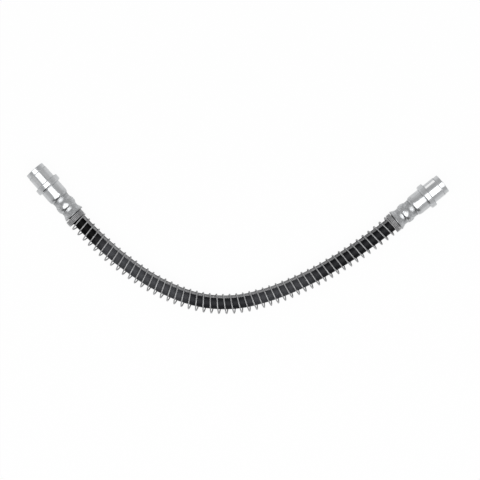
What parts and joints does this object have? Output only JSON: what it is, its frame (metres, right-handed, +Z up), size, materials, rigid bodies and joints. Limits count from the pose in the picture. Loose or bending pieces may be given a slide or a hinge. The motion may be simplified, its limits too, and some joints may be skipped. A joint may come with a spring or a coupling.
{
  "type": "brake hose",
  "caption": "Flexible rubber brake hose with crimped female-threaded end fittings and a wire coil guard, lying in a shallow U; carries brake fluid between fixed and moving pipes.",
  "frame": {"origin": "bottom centre of the fittings and the guard, on the surface that the hose lies on", "axes": "+X from the left fitting to the right fitting, +Y from the bottom of the U towards its open side, +Z up"},
  "size_m": [0.3224, 0.1115, 0.0203],
  "materials": {
    "rubber": "satin black cover with a fine wrapped-cloth texture and a grey lengthwise stripe",
    "guard_wire": "drawn galvanised wire",
    "plated_steel": "satin zinc plating",
    "insert_steel": "plain turned steel"
  },
  "bodies": {
    "root": {"hose": "rubber", "spring_guard": "guard_wire", "left_fitting": "plated_steel", "left_insert": "insert_steel", "right_fitting": "plated_steel", "right_insert": "insert_steel"}
  },
  "joints": []
}
